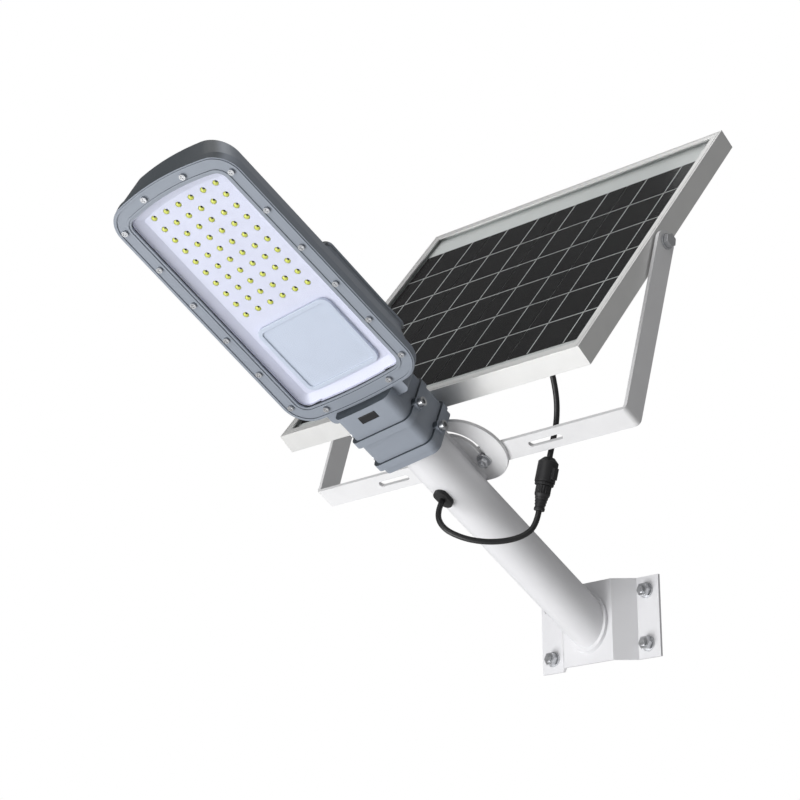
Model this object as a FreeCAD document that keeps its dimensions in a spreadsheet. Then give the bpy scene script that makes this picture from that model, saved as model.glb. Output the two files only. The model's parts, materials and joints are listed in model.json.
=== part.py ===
import FreeCAD, Part
import math
import os
import re
import Sketcher

# Solar street lamp with a wall bracket, a raked arm tube, a lamp head clamped on its free end
# and a framed solar panel in a U-shaped yoke above the arm.
# The origin is the centre of the bracket's bolt pattern, on the face that lies against the wall.
# +Z is up, -Y points away from the wall and +X is to the right of someone facing the wall.

os.makedirs("parts", exist_ok=True)
doc = FreeCAD.newDocument("solar_street_lamp")
Vector = FreeCAD.Vector
Rotation = FreeCAD.Rotation
Placement = FreeCAD.Placement
X_AXIS = Vector(1, 0, 0)
Y_AXIS = Vector(0, 1, 0)
Z_AXIS = Vector(0, 0, 1)

# ---------------------------------------------------------------- driving dimensions, mm and degrees
SIZES = [
    # wall bracket: a sheet folded to a hat section, with four anchor bolts
    ("bracket_height", 88, "height of the bracket"),
    ("bracket_half", 83.5, "half width over the flanges"),
    ("crown_half", 34.5, "half width of the raised face"),
    ("crown_depth", 22.5, "raised face in front of the wall"),
    ("bracket_sheet", 3, "sheet thickness"),
    ("anchor_across", 134, "bolt spacing across"),
    ("anchor_upright", 57, "bolt spacing up and down"),
    ("anchor_radius", 4, "anchor stud radius"),
    ("anchor_slack", 0.5, "flange hole over stud, in radius"),
    ("anchor_grip", 12, "stud body behind the flange"),
    ("anchor_thread", 3.6, "mean radius of the stud's threaded end"),
    ("anchor_end", 14, "threaded end in front of the wall"),
    # arm tube
    ("arm_rise", 31, "slope of the arm above level"),
    ("tube_radius", 25, "outside radius"),
    ("tube_wall", 2.5, "wall of the tube"),
    ("tube_end", 376, "station of the tube's free end"),
    ("weld_leg", 3.5, "leg of the fillet weld at the bracket"),
    ("hole_station", 239, "station of the lead hole"),
    ("hole_half", 4.5, "half distance between the hole's round ends"),
    ("hole_radius", 5.5, "radius of the hole's round ends"),
    ("grommet_lip", 2, "lip of the grommet round the hole"),
    ("lead_radius", 3, "radius of both leads"),
    ("bore_slack", 0.05, "grommet bore over lead, in radius"),
    # arc plate on top of the tube
    ("plate_station", 248, "station of the plate's centre"),
    ("plate_seat", "=tube_radius+2", "plate underside above the tube's axis"),
    ("plate_sheet", 4, "plate thickness"),
    ("plate_radius", 44, "radius of the plate's round ends"),
    ("plate_spread", 16, "offset of the round ends from the middle"),
    ("slot_radius", 31, "radius of the curved slots"),
    ("slot_half", 3.4, "half width of the curved slots"),
    ("slot_down", 52, "slot angle towards the wall"),
    ("slot_up", 80, "slot angle towards the lamp"),
    ("saddle_half", 13, "half width of the saddle under the plate"),
    # yoke
    ("bar_station", 232, "station of the cross bar's centre line"),
    ("strip_width", 25, "width of the yoke's flat bar"),
    ("strip_sheet", 4, "thickness of the yoke's flat bar"),
    ("arm_gap", 2, "gap between panel frame and yoke arm"),
    ("yoke_lean", 13, "lean of the yoke arms towards the lamp"),
    ("pivot_height", 235, "panel pivot above the tube's axis"),
    ("bend_radius", 5, "outside radius of the yoke's bends"),
    ("bar_slot_place", 109.5, "middle of the bar's long slots"),
    ("bar_slot_length", 45, "length of the bar's long slots"),
    ("bar_slot_half", 3.6, "half width of the bar's long slots"),
    ("clamp_radius", 3, "radius of the clamp bolts"),
    ("clamp_slack", 0.2, "bar hole over clamp bolt, in radius"),
    ("bar_lift", 0.15, "sliding gap between arc plate and cross bar"),
    # solar panel
    ("panel_tilt", 50.7, "tilt of the panel from level"),
    ("panel_width", 433, "width over the frame"),
    ("panel_height", 388, "height over the frame"),
    ("frame_depth", 23, "depth of the frame"),
    ("rail_wall", 1.6, "wall of the frame rail"),
    ("rail_box", 10, "width of the rail's hollow"),
    ("rail_foot", 20, "width of the rail's back flange"),
    ("shelf_depth", "=frame_depth-6.5", "shelf under the laminate, from the back"),
    ("glass_sheet", 3.2, "glass thickness"),
    ("cell_layer", 1.0, "cell layer thickness"),
    ("laminate_slack", 1, "laminate edge to rail wall"),
    ("key_leg", 30, "leg of the corner keys"),
    ("key_slack", 0.1, "corner key to rail wall"),
    ("pivot_depth", "=shelf_depth/2", "pivot axis in front of the frame's back"),
    ("pivot_radius", 4, "radius of the pivot bolts"),
    ("pivot_slack", 0.08, "yoke hole over pivot bolt, in radius"),
    ("insert_radius", "=min(pivot_radius+1.5; shelf_depth/2-rail_wall-0.4)", "radius of the threaded inserts"),
    ("insert_length", 8, "length of the threaded inserts"),
    ("joint_gap", 0.3, "gap between washers and yoke"),
    ("box_place", 118, "middle of the junction box across the panel"),
    ("box_drop", 62, "middle of the junction box below the pivot"),
    ("box_width", 64, "junction box across"),
    ("box_height", 52, "junction box along the slope"),
    ("box_wall", 2, "junction box wall"),
    ("gland_length", 12, "length of the junction box gland"),
    # lamp head
    ("head_roll", 12, "turn of the head round the arm"),
    ("sleeve_start", "=plate_station+plate_radius+4", "station of the sleeve's open end"),
    ("head_base", 378, "station of the head's base edge"),
    ("head_tip", 689, "station of the head's tip edge"),
    ("base_half", 83, "half width at the base"),
    ("tip_half", 80, "half width at the tip"),
    ("head_bow", 11, "bow of the tip edge"),
    ("head_corner", 29, "corner radius of the head"),
    ("sleeve_half", "=tube_radius+11", "half width of the sleeve"),
    ("sleeve_rise", "=tube_radius+6", "half height of the sleeve"),
    ("sleeve_slack", 0.35, "sleeve bore over tube, in radius"),
    ("rim_level", 18, "lower face of the rim below the arm axis"),
    ("rim_sheet", 2, "thickness of the rim"),
    ("rim_width", 18, "width of the rim"),
    ("lens_sheet", 1.6, "thickness of the clear cover"),
    ("gasket_sheet", 1.4, "thickness of the rim gasket"),
    ("housing_top", 20, "top of the housing above the arm axis"),
    ("housing_wall", 3, "wall of the housing"),
    ("tray_sheet", 1.2, "thickness of the reflector"),
    ("tray_depth", 6, "depth of the reflector"),
    ("led_pitch", 15, "pitch of the LEDs"),
    ("led_spacing", 16.5, "spacing of the LEDs across the head"),
    ("led_start", 518, "station of the first row of LEDs"),
    ("led_radius", 2.8, "radius of an LED"),
    ("board_sheet", 1.6, "thickness of the circuit boards"),
    ("spreader_sheet", 3, "thickness of the heat spreader"),
    ("cover_half", 58, "half width of the driver compartment"),
    ("cover_start", 408, "station of the driver compartment's near wall"),
    ("cover_end", 524, "station of the driver compartment's far wall"),
    ("cover_rise", 32, "top of the driver compartment's wall"),
    ("cover_sheet", 3, "thickness of the top cover"),
    ("cell_radius", 9, "radius of a battery cell"),
    ("cell_length", 65, "length of a battery cell"),
    # waterproof connector in the lead
    ("plug_length", 26, "length of the lower half"),
    ("socket_length", 26, "length of the upper half"),
    ("plug_radius", 8, "radius of the lower half"),
    ("socket_radius", 10.5, "radius of the upper half"),
    ("ring_length", 3.4, "length of the coupling ring"),
]
LED_ROWS = 10
LED_COLUMNS = 6

dims = doc.addObject("Spreadsheet::Sheet", "dims")
for line, (alias, value, note) in enumerate(SIZES, start=1):
    dims.set("A%d" % line, alias)
    dims.set("B%d" % line, str(value))
    dims.set("C%d" % line, note)
    dims.setAlias("B%d" % line, alias)
doc.recompute()


def size(alias):
    return float(dims.get(alias))


# ---------------------------------------------------------------- helpers
def linked(expression):
    """The expression with every alias read from the sheet."""
    return re.sub(r"\b([a-z]+_[a-z_]+)\b", r"dims.\1", str(expression))


def primitive(kind, name, at=(0, 0, 0), turn=None, **sizes):
    """A Part primitive whose sizes and place are bound to the sheet."""
    solid = doc.addObject("Part::" + kind, name)
    if kind == "Prism":
        solid.Polygon = 6
    for prop, expression in sizes.items():
        solid.setExpression(prop, linked(expression))
    if turn:
        solid.Placement = Placement(Vector(), Rotation(turn[0], 1))
        solid.setExpression("Placement.Rotation.Angle", linked(turn[1]))
    for letter, expression in zip("xyz", at):
        solid.setExpression("Placement.Base." + letter, linked(expression))
    return solid


def box(name, x, y, z):
    """A box from three (low, high) pairs."""
    spans = ["(%s)-(%s)" % (high, low) for low, high in (x, y, z)]
    return primitive("Box", name, (x[0], y[0], z[0]), Length=spans[0], Width=spans[1], Height=spans[2])


def rod(name, radius, at, length, turn=None, **more):
    """A cylinder that starts at a point and runs along its turned Z axis."""
    return primitive("Cylinder", name, at, turn, Radius=radius, Height=length, **more)


def fuse(name, *solids):
    joined = doc.addObject("Part::MultiFuse", name)
    joined.Shapes = list(solids)
    joined.Refine = True
    return joined


def cut(name, base, *tools):
    tool = tools[0] if len(tools) == 1 else fuse(name + "_tools", *tools)
    result = doc.addObject("Part::Cut", name)
    result.Base = base
    result.Tool = tool
    return result


def common(name, first, second):
    result = doc.addObject("Part::Common", name)
    result.Base = first
    result.Tool = second
    return result


def ring(name, outer, inner, at, length, turn=None):
    """A washer or bush; the bore starts at the same face."""
    return cut(name, rod(name + "_body", outer, at, length, turn), rod(name + "_bore", inner, at, length,
                                                                       turn))


def group(name, solids):
    """Separate solids kept in one node."""
    bundle = doc.addObject("Part::Compound", name)
    bundle.Links = list(solids)
    return bundle


parts = {}


def keep(node, solid, frame=None):
    """Names a sub-part and puts it in its frame; a bare primitive keeps its own bound place inside it."""
    if frame is not None:
        if solid.TypeId in ("Part::Box", "Part::Cylinder", "Part::Cone", "Part::Prism"):
            solid = group(node + "_placed", [solid])
        solid.Placement = frame
    solid.Label = node
    parts[node] = solid


def keep_shape(node, shape, frame=None):
    """A sub-part made from a shape of its own."""
    solid = doc.addObject("Part::Feature", node + "_solid")
    solid.Shape = shape
    keep(node, solid, frame)


def outline(sketch, points):
    """A closed outline whose corners are bound to the sheet."""
    first = sketch.GeometryCount
    last = len(points) - 1
    turn = 2 * math.pi / len(points)
    rough = [Vector(math.cos(turn * i), math.sin(turn * i), 0) for i in range(len(points))]
    for i in range(len(points)):
        sketch.addGeometry(Part.LineSegment(rough[i], rough[(i + 1) % len(points)]), False)
    for i in range(len(points)):
        following = first + (i + 1 if i < last else 0)
        sketch.addConstraint(Sketcher.Constraint("Coincident", first + i, 2, following, 1))
    for i, corner in enumerate(points):
        for kind, expression in zip(("DistanceX", "DistanceY"), corner):
            number = sketch.addConstraint(Sketcher.Constraint(kind, -1, 1, first + i, 1, 1.0))
            sketch.setExpression("Constraints[%d]" % number, linked(expression))


def sketch_on(body, role, name):
    """An empty sketch on one of the body's own origin planes."""
    plane = [f for f in body.Origin.OriginFeatures if f.Role == role][0]
    sketch = body.newObject("Sketcher::SketchObject", name)
    sketch.AttachmentSupport = [(plane, "")]
    sketch.MapMode = "FlatFace"
    return sketch


def padded_body(name, role, points, length, holes=()):
    """A body padded both ways from one of its planes; holes are inner outlines."""
    body = doc.addObject("PartDesign::Body", name)
    sketch = sketch_on(body, role, name + "_outline")
    outline(sketch, points)
    for hole in holes:
        outline(sketch, hole)
    pad = body.newObject("PartDesign::Pad", name + "_pad")
    pad.Profile = sketch
    pad.Midplane = True
    pad.setExpression("Length", linked(length))
    return body


def pocket(body, role, name, outlines, length):
    """A pocket both ways from one of the body's planes; it has to remove material."""
    doc.recompute()
    before = body.Shape.Volume
    sketch = sketch_on(body, role, name + "_outline")
    for points in outlines:
        outline(sketch, points)
    cutter = body.newObject("PartDesign::Pocket", name)
    cutter.Profile = sketch
    cutter.Midplane = True
    cutter.setExpression("Length", linked(length))
    doc.recompute()
    if body.Shape.Volume > before - 1:
        raise RuntimeError(name + " removes nothing")


# ---------------------------------------------------------------- frames
# arm frame: +Y runs back down the tube to the wall, so a station along the tube is a negative Y
arm_frame = Placement(Vector(0, -size("crown_depth"), 0), Rotation(X_AXIS, -size("arm_rise")))
head_frame = arm_frame.multiply(Placement(Vector(), Rotation(Y_AXIS, -size("head_roll"))))
bar_level = size("plate_seat") + size("plate_sheet") + size("bar_lift")
lean = math.radians(size("yoke_lean"))
pivot_station = size("bar_station") + (size("pivot_height") - bar_level) * math.tan(lean)
pivot_point = arm_frame.multVec(Vector(0, -pivot_station, size("pivot_height")))
panel_frame = Placement(pivot_point, Rotation(X_AXIS, size("panel_tilt")))
ALONG = (X_AXIS, 90)      # turns a rod's Z axis to -Y, up the tube
INWARD = (X_AXIS, -90)    # turns a rod's Z axis to +Y
ACROSS = (Y_AXIS, 90)     # turns a rod's Z axis to +X

# ---------------------------------------------------------------- wall bracket and anchors
flange = "crown_half+crown_depth"
back_line = "(%s-1.41421*bracket_sheet)" % flange
inner_half = "(crown_half-0.41421*bracket_sheet)"
front_bend = "(%s-bracket_sheet)" % flange
bracket = padded_body("bracket", "XY_Plane", [
    ("-bracket_half", "0"), ("-" + back_line, "0"),
    ("-" + inner_half, "bracket_sheet-crown_depth"), (inner_half, "bracket_sheet-crown_depth"),
    (back_line, "0"), ("bracket_half", "0"), ("bracket_half", "-bracket_sheet"),
    (front_bend, "-bracket_sheet"), ("crown_half", "-crown_depth"), ("-crown_half", "-crown_depth"),
    ("-" + front_bend, "-bracket_sheet"), ("-bracket_half", "-bracket_sheet")], "bracket_height")
corners = [(sx, sz) for sx in (-1, 1) for sz in (-1, 1)]
holes = []
studs = []
washers = []
nuts = []
for i, (sx, sz) in enumerate(corners):
    x = "%d*anchor_across/2" % sx
    z = "%d*anchor_upright/2" % sz
    nut_face = "-bracket_sheet-1.6"
    holes.append(rod("anchor_hole_%d" % i, "anchor_radius+anchor_slack", (x, "-2*bracket_sheet", z),
                     "3*bracket_sheet", INWARD))
    studs.append(fuse("stud_%d" % i, rod("stud_body_%d" % i, "anchor_radius", (x, 0, z), "anchor_grip",
                                         INWARD),
                      rod("stud_end_%d" % i, "anchor_thread", (x, "-anchor_end", z), "anchor_end", INWARD)))
    washers.append(ring("wall_washer_%d" % i, "anchor_radius*2.1", "anchor_radius+0.2",
                        (x, nut_face, z), "1.6", INWARD))
    blank = primitive("Prism", "wall_nut_blank_%d" % i, (x, nut_face + "-6.5", z), INWARD,
                      Circumradius="7.5", Height="6.5")
    thread = rod("wall_nut_thread_%d" % i, "anchor_thread", (x, nut_face + "-6.5", z), "6.5", INWARD)
    nuts.append(cut("wall_nut_%d" % i, blank, thread))
keep("wall_bracket", cut("bracket_drilled", bracket, *holes))
keep("anchor_studs", group("stud_group", studs))
keep("anchor_washers", group("wall_washer_group", washers))
keep("anchor_nuts", group("wall_nut_group", nuts))

# ---------------------------------------------------------------- arm tube, welds and grommet
TAIL = 30     # the blank runs on behind the raised face before it is coped
blank = rod("tube_blank", "tube_radius", (0, TAIL, 0), "tube_end+%d" % TAIL, ALONG)
bore = rod("tube_bore", "tube_radius-tube_wall", (0, TAIL, 0), "tube_end+%d" % TAIL, ALONG)
wall_side = primitive("Box", "cope_block", (-60, 0, 0), (X_AXIS, "arm_rise"), Length="120", Width="80",
                      Height="90")
wall_side_low = primitive("Box", "cope_block_low", (-60, "90*sin(arm_rise*1deg)", "-90*cos(arm_rise*1deg)"),
                          (X_AXIS, "arm_rise"), Length="120", Width="80", Height="90")


def oblong(name, half, radius, low, high):
    """An upright block with round ends, centred on the lead hole."""
    middle = box(name + "_middle", ("-(%s)" % radius, radius), ("-hole_station-%s" % half,
                                                                "-hole_station+%s" % half),
                 (low, high))
    ends = [rod("%s_end_%d" % (name, s + 1), radius, (0, "-hole_station+(%d)*%s" % (s, half), low),
                "(%s)-(%s)" % (high, low)) for s in (-1, 1)]
    return fuse(name, middle, *ends)


lead_hole = oblong("lead_hole", "hole_half", "hole_radius", "-tube_radius-5", "-tube_radius+8")
keep("arm_tube", cut("tube_finished", blank, bore, wall_side, wall_side_low, lead_hole), arm_frame)

weld_outer = rod("weld_outer", "tube_radius+weld_leg", (0, TAIL, 0), "2*tube_radius+%d" % (2 * TAIL), ALONG)
weld_inner = rod("weld_inner", "tube_radius", (0, TAIL, 0), "2*tube_radius+%d" % (2 * TAIL), ALONG)
weld_slab = primitive("Box", "weld_slab", (-60, "60*sin(arm_rise*1deg)-weld_leg*cos(arm_rise*1deg)",
                                           "-60*cos(arm_rise*1deg)-weld_leg*sin(arm_rise*1deg)"),
                      (X_AXIS, "arm_rise"), Length="120", Width="weld_leg", Height="120")
keep("bracket_weld", common("weld_bead", cut("weld_ring", weld_outer, weld_inner), weld_slab), arm_frame)

grommet_lip = oblong("grommet_lip", "hole_half", "hole_radius+grommet_lip", "-tube_radius-4",
                     "-tube_radius+3")
grommet_neck = oblong("grommet_neck", "hole_half", "hole_radius", "-tube_radius-4",
                      "-tube_radius+tube_wall+1")
tube_room = rod("tube_room", "tube_radius", (0, "-hole_station+40", 0), "80", ALONG)
grommet_bore = rod("grommet_bore", "lead_radius+bore_slack", (0, "-hole_station", "-tube_radius-6"), "16")
grommet = cut("grommet_bored", fuse("grommet_body", cut("grommet_flange", grommet_lip, tube_room),
                                    grommet_neck),
              grommet_bore)
keep("lead_grommet", grommet, arm_frame)

# ---------------------------------------------------------------- arc plate and its saddle
bolt_back = "(plate_station-bar_station)"
bolt_side = "sqrt(slot_radius^2-%s^2)" % bolt_back
plate_top = "plate_seat+plate_sheet"
plate_blank = fuse(
    "plate_blank",
    box("plate_middle", ("-plate_spread", "plate_spread"),
        ("-plate_station-plate_radius", "-plate_station+plate_radius"), ("plate_seat", plate_top)),
    rod("plate_end_right", "plate_radius", ("plate_spread", "-plate_station", "plate_seat"), "plate_sheet"),
    rod("plate_end_left", "plate_radius", ("-plate_spread", "-plate_station", "plate_seat"), "plate_sheet"))


def curved_slot(name, start):
    """A slot round the plate's centre, from a start angle, with round ends."""
    low = "plate_seat-1"
    height = "plate_sheet+2"
    centre = (0, "-plate_station", low)
    sweep = "slot_up+slot_down"
    outer = rod(name + "_outer", "slot_radius+slot_half", centre, height, (Z_AXIS, start), Angle=sweep)
    inner = rod(name + "_inner", "slot_radius-slot_half", centre, height)
    ends = []
    for tag, angle in (("a", start), ("b", "(%s)+slot_up+slot_down" % start)):
        place = ("slot_radius*cos((%s)*1deg)" % angle,
                 "-plate_station+slot_radius*sin((%s)*1deg)" % angle, low)
        ends.append(rod(name + "_end_" + tag, "slot_half", place, height))
    return fuse(name, cut(name + "_band", outer, inner), *ends)


slots = [curved_slot("slot_right", "-slot_up"), curved_slot("slot_left", "180-slot_down")]
keep("arc_plate", cut("plate_finished", plate_blank, *slots), arm_frame)
saddle = box("saddle_block", ("-saddle_half", "saddle_half"),
             ("-plate_station-plate_radius+6", "-plate_station+plate_radius-6"), ("tube_radius-6",
                                                                                  "plate_seat"))
saddle_room = rod("saddle_room", "tube_radius", (0, "-plate_station+plate_radius", 0), "2*plate_radius",
                  ALONG)
keep("plate_saddle", cut("saddle", saddle, saddle_room), arm_frame)

# ---------------------------------------------------------------- yoke with its clamp bolts
arm_inner = "(panel_width/2+arm_gap)"
arm_outer = "(panel_width/2+arm_gap+strip_sheet)"
half_strip = "strip_width/2"
bar_base = plate_top + "+bar_lift"
reach = "(pivot_height-(%s))" % bar_base
pivot_along = "(bar_station+%s*tan(yoke_lean*1deg))" % reach
side = "(%s*cos(yoke_lean*1deg))" % half_strip
rise = "(%s*sin(yoke_lean*1deg))" % half_strip
bend_top = bar_base + "+bend_radius+2"      # the arms lean only above the bends
bar = box("bar_blank", ("-" + arm_outer, arm_outer), ("-bar_station-" + half_strip,
                                                      "-bar_station+" + half_strip),
          (bar_base, bar_base + "+strip_sheet"))
yoke_arms = []
for tag, sign in (("right", 1), ("left", -1)):
    web = padded_body("yoke_web_" + tag, "YZ_Plane", [
        ("-bar_station+" + half_strip, bend_top), ("-bar_station+" + half_strip, bar_base),
        ("-bar_station-" + half_strip, bar_base), ("-bar_station-" + half_strip, bend_top),
        ("-%s-%s" % (pivot_along, side), "pivot_height-%s" % rise),
        ("-%s+%s" % (pivot_along, side), "pivot_height+%s" % rise)], "strip_sheet")
    web.setExpression("Placement.Base.x", linked("%d*(%s-strip_sheet/2)" % (sign, arm_outer)))
    eye = rod("yoke_eye_" + tag, half_strip, (arm_inner if sign > 0 else "-" + arm_outer, "-" + pivot_along,
                                              "pivot_height"), "strip_sheet", ACROSS)
    yoke_arms += [web, eye]
pivot_holes = [rod("pivot_hole_%d" % (s + 1), "pivot_radius+pivot_slack",
                   ("%d*%s-10" % (s, arm_outer), "-" + pivot_along,
                    "pivot_height"), "20", ACROSS) for s in (-1, 1)]
clamp_holes = [rod("clamp_hole_%d" % (s + 1), "clamp_radius+clamp_slack",
                   ("%d*%s" % (s, bolt_side), "-bar_station",
                    bar_base + "-2"), "strip_sheet+4") for s in (-1, 1)]
bar_slots = []
for s in (-1, 1):
    middle = "%d*bar_slot_place" % s
    straight = "(bar_slot_length/2-bar_slot_half)"
    low = bar_base + "-2"
    bar_slots.append(box("bar_slot_%d" % (s + 1), (middle + "-" + straight, middle + "+" + straight),
                         ("-bar_station-bar_slot_half", "-bar_station+bar_slot_half"), (low,
                                                                                        low + "+strip_sheet+4")))
    for e in (-1, 1):
        bar_slots.append(rod("bar_slot_%d_end_%d" % (s + 1, e + 1), "bar_slot_half",
                             ("%s+(%d)*%s" % (middle, e, straight), "-bar_station", low), "strip_sheet+4"))
yoke_sharp = cut("yoke_sharp", fuse("yoke_joined", bar, *yoke_arms), *(pivot_holes + clamp_holes + bar_slots))
doc.recompute()


def edges_at(shape, longest, test):
    """Numbers of the straight edges, up to a length, whose two ends pass a test."""
    found = []
    for number, edge in enumerate(shape.Edges, start=1):
        ends = edge.Vertexes
        if len(ends) == 2 and edge.Length < longest and all(test(v.Point) for v in ends):
            found.append(number)
    return found


outer_x = size("panel_width") / 2 + size("arm_gap") + size("strip_sheet")
bend_edges = edges_at(yoke_sharp.Shape, outer_x,
                      lambda p: abs(abs(p.x) - outer_x) < 0.01 and abs(p.z - bar_level) < 0.01)
if len(bend_edges) != 2:
    raise RuntimeError("the yoke's two bends weren't found")
bends = doc.addObject("Part::Fillet", "yoke_bent")
bends.Base = yoke_sharp
bends.Edges = [(number, size("bend_radius"), size("bend_radius")) for number in bend_edges]
keep("yoke", bends, arm_frame)

clamp_bolts = []
clamp_washers = []
clamp_nuts = []
bar_top = bar_base + "+strip_sheet"
for s in (-1, 1):
    x = "%d*%s" % (s, bolt_side)
    shank = rod("clamp_shank_%d" % (s + 1), "clamp_radius", (x, "-bar_station", "plate_seat-9.5"),
                "9.5+plate_sheet+bar_lift+strip_sheet")
    head = primitive("Cone", "clamp_head_%d" % (s + 1), (x, "-bar_station", bar_top),
                     Radius1="clamp_radius*2.5", Radius2="clamp_radius*1.3", Height="3.5")
    clamp_bolts.append(fuse("clamp_bolt_%d" % (s + 1), shank, head))
    clamp_washers.append(ring("clamp_washer_%d" % (s + 1), "clamp_radius*2.67", "clamp_radius+0.2",
                              (x, "-bar_station", "plate_seat-1.6-joint_gap/2"), "1.6"))
    nut_blank = primitive("Prism", "clamp_nut_blank_%d" % (s + 1), (x, "-bar_station", "plate_seat-6.75"),
                          Circumradius="5.77", Height="5")
    nut_thread = rod("clamp_nut_thread_%d" % (s + 1), "clamp_radius", (x, "-bar_station",
                                                                       "plate_seat-6.75"), "5")
    clamp_nuts.append(cut("clamp_nut_%d" % (s + 1), nut_blank, nut_thread))
keep("clamp_bolts", group("clamp_bolt_group", clamp_bolts), arm_frame)
keep("clamp_washers", group("clamp_washer_group", clamp_washers), arm_frame)
keep("clamp_nuts", group("clamp_nut_group", clamp_nuts), arm_frame)

# ---------------------------------------------------------------- solar panel
GROOVE = (2.5, 3.3, 0.6)      # shadow groove in the front lip: start, end and depth


def rail(node, length, quarter, drilled):
    """A mitred frame rail; its outer wall is at Y 0 and its back at Z 0 before it is turned."""
    lip = "(frame_depth-rail_wall)"
    section = [("0", "0"), ("0", "frame_depth"), (GROOVE[0], "frame_depth"),
               (GROOVE[0], "frame_depth-%g" % GROOVE[2]), (GROOVE[1], "frame_depth-%g" % GROOVE[2]),
               (GROOVE[1], "frame_depth"), ("rail_box", "frame_depth"), ("rail_box", lip),
               ("rail_wall", lip), ("rail_wall", "shelf_depth"), ("rail_box", "shelf_depth"),
               ("rail_box", "rail_wall"), ("rail_foot", "rail_wall"), ("rail_foot", "0")]
    hollow = [("rail_wall", "rail_wall"), ("rail_box-rail_wall", "rail_wall"),
              ("rail_box-rail_wall", "shelf_depth-rail_wall"), ("rail_wall", "shelf_depth-rail_wall")]
    body = padded_body(node + "_body", "YZ_Plane", section, length, [hollow])
    end = "(%s/2)" % length
    mitres = []
    for sign in ("", "-"):
        mitres.append([("%s(%s+1)" % (sign, end), "-1"), ("%s(%s+1)" % (sign, end), "rail_foot+2"),
                       ("%s(%s-rail_foot-2)" % (sign, end), "rail_foot+2")])
    pocket(body, "XY_Plane", node + "_mitre", mitres, "3*frame_depth")
    solid = body
    if drilled:
        hole = rod(node + "_hole", "insert_radius", (0, "-1", "pivot_depth"), "rail_wall+2", INWARD)
        solid = cut(node + "_drilled", body, hole)
    back = -size("pivot_depth")
    places = [Vector(0, -size("panel_height") / 2, back), Vector(size("panel_width") / 2, 0, back),
              Vector(0, size("panel_height") / 2, back), Vector(-size("panel_width") / 2, 0, back)]
    keep(node, solid, panel_frame.multiply(Placement(places[quarter], Rotation(Z_AXIS, 90 * quarter))))


rail("frame_rail_bottom", "panel_width", 0, False)
rail("frame_rail_right", "panel_height", 1, True)
rail("frame_rail_top", "panel_width", 2, False)
rail("frame_rail_left", "panel_height", 3, True)


def span(half, sign, inner, outer):
    """Low and high of a stretch measured inwards from one side of the frame."""
    low = "%d*(%s-%s)" % (sign, half, outer if sign > 0 else inner)
    high = "%d*(%s-%s)" % (sign, half, inner if sign > 0 else outer)
    return low, high


keys = []
for i, (sx, sy) in enumerate(corners):
    near = "(rail_wall+key_slack)"
    far = "(rail_box-rail_wall-key_slack)"
    levels = ("-pivot_depth+rail_wall+key_slack", "-pivot_depth+shelf_depth-rail_wall-key_slack")
    leg_across = box("key_across_%d" % i, span("panel_width/2", sx, near, "key_leg"),
                     span("panel_height/2", sy, near, far), levels)
    leg_upright = box("key_upright_%d" % i, span("panel_width/2", sx, near, far),
                      span("panel_height/2", sy, near, "key_leg"), levels)
    keys.append(fuse("key_%d" % i, leg_across, leg_upright))
keep("corner_keys", group("key_group", keys), panel_frame)

lam_x = "(panel_width/2-rail_wall-laminate_slack)"
lam_y = "(panel_height/2-rail_wall-laminate_slack)"
glass_top = "(frame_depth-pivot_depth-rail_wall)"
glass_low = "(%s-glass_sheet)" % glass_top
cells_low = "(%s-cell_layer)" % glass_low
shelf_top = "(shelf_depth-pivot_depth)"
for node, low, high in (("panel_glass", glass_low, glass_top), ("cell_sheet", cells_low, glass_low),
                        ("back_sheet", shelf_top, cells_low)):
    keep(node, box(node + "_slab", ("-" + lam_x, lam_x), ("-" + lam_y, lam_y), (low, high)), panel_frame)

box_low = "(-pivot_depth+2.5)"
box_left = "(box_place-box_width/2)"
box_right = "(box_place+box_width/2)"
box_bottom = "(-box_drop-box_height/2)"
box_head = "(-box_drop+box_height/2)"
shell = box("junction_shell", (box_left, box_right), (box_bottom, box_head), (box_low, shelf_top))
room = box("junction_room", (box_left + "+box_wall", box_right + "-box_wall"),
           (box_bottom + "+box_wall", box_head + "-box_wall"), (box_low + "-1", shelf_top + "-box_wall"))
keep("junction_box", cut("junction_hollow", shell, room), panel_frame)
keep("junction_lid", box("junction_cap", (box_left + "-1", box_right + "+1"), (box_bottom + "-1",
                                                                               box_head + "+1"),
                         (box_low + "-2.5", box_low)), panel_frame)
GLAND_LEVEL = 1.25      # the middle of the junction box
gland_nut = primitive("Prism", "gland_nut", ("box_place", box_bottom, GLAND_LEVEL), ALONG,
                      Circumradius="lead_radius+3.5", Height="gland_length/2")
gland_nose = primitive("Cone", "gland_nose", ("box_place", box_bottom + "-gland_length/2", GLAND_LEVEL),
                       ALONG,
                       Radius1="lead_radius+2.8", Radius2="lead_radius+1", Height="gland_length/2")
keep("junction_gland", fuse("gland", gland_nut, gland_nose), panel_frame)

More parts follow.
